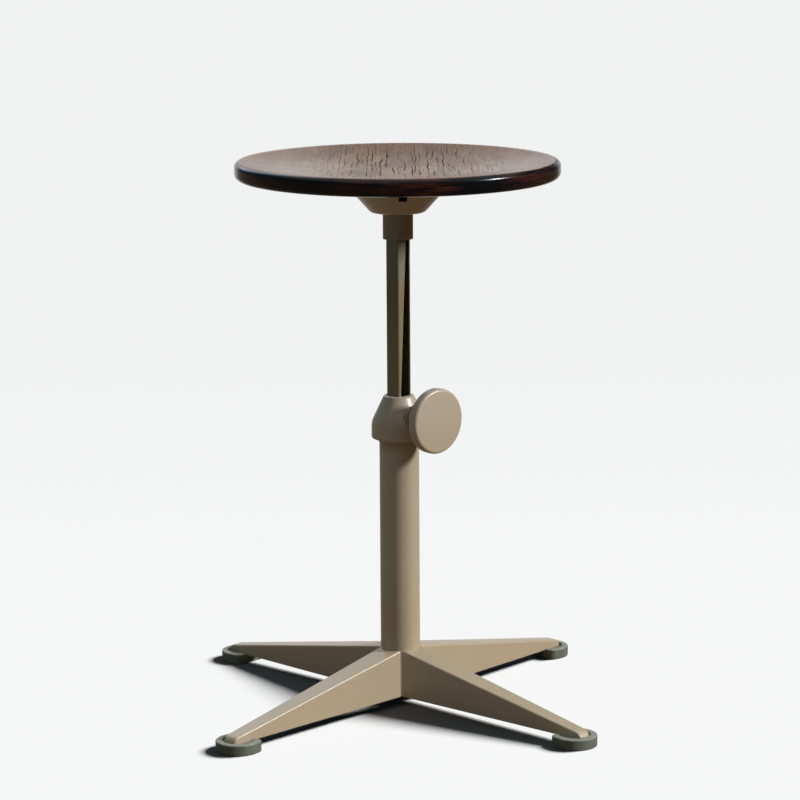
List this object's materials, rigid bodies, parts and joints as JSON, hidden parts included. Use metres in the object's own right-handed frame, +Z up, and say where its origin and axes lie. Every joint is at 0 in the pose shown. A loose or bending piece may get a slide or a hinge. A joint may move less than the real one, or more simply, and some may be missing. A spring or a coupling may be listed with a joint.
{
  "type": "machinist stool",
  "caption": "Stool with a round dished wooden seat that turns on a square stem, a clamp knob that holds its height, and a folded steel leg base on soft shoes.",
  "frame": {"origin": "on the floor, on the axis of the column, at the centre of the four shoes", "axes": "+Z up along the column; the legs lie on the diagonals between X and Y; the clamp knob points to the front right, 41 degrees from -Y towards +X"},
  "size_m": [0.4132, 0.4132, 0.6166],
  "materials": {
    "enamel": "beige-grey stove enamel, satin to semi-gloss",
    "plated_steel": "zinc-plated steel",
    "shoe_rubber": "moulded grey-green rubber",
    "seat_wood": "dark stained and lacquered wood, worn on the dish",
    "brass": "machined brass",
    "bronze": "oiled bronze",
    "nylon": "natural nylon"
  },
  "bodies": {
    "frame": {"column": "enamel", "base_plug": "plated_steel", "clamp_head": "enamel", "shoe_screws": "plated_steel", "leg_front_right": "enamel", "foot_plate_front_right": "plated_steel", "shoe_front_right": "shoe_rubber", "leg_back_right": "enamel", "foot_plate_back_right": "plated_steel", "shoe_back_right": "shoe_rubber", "leg_back_left": "enamel", "foot_plate_back_left": "plated_steel", "shoe_back_left": "shoe_rubber", "leg_front_left": "enamel", "foot_plate_front_left": "plated_steel", "shoe_front_left": "shoe_rubber"},
    "post": {"stem": "enamel", "stem_guide": "nylon", "guide_pin": "plated_steel", "pivot_plug": "plated_steel", "pivot_bush": "bronze", "collar": "enamel", "thrust_washer": "nylon", "bolt_washer": "plated_steel", "pivot_bolt": "plated_steel"},
    "seat_top": {"seat": "seat_wood", "seat_bracket": "enamel", "spindle": "plated_steel", "seat_screws": "plated_steel"},
    "clamp_pad": {"pressure_pad": "brass"},
    "clamp_handle": {"clamp_screw": "plated_steel", "knob_neck": "enamel", "knob_pin": "plated_steel", "clamp_knob": "enamel"}
  },
  "joints": [
    {"name": "height_slide", "type": "slide", "parent": "frame", "child": "post", "axis": [0, 0, 1], "range_m": [-0.1755, 0.074]},
    {"name": "seat_swivel", "type": "hinge", "parent": "post", "child": "seat_top", "pos_m": [0, 0, 0.56], "axis": [0, 0, 1], "continuous": true},
    {"name": "pad_slide", "type": "slide", "parent": "frame", "child": "clamp_pad", "axis": [0.6561, -0.7547, 0], "range_m": [0, 0.00151]},
    {"name": "knob_turn", "type": "hinge", "parent": "clamp_pad", "child": "clamp_handle", "pos_m": [0, 0, 0.332], "axis": [0.6561, -0.7547, 0], "range_deg": [0, 360]}
  ],
  "couplings": [
    {"joint": "pad_slide", "follows": "knob_turn", "m_per_rad": 0.00023873}
  ]
}
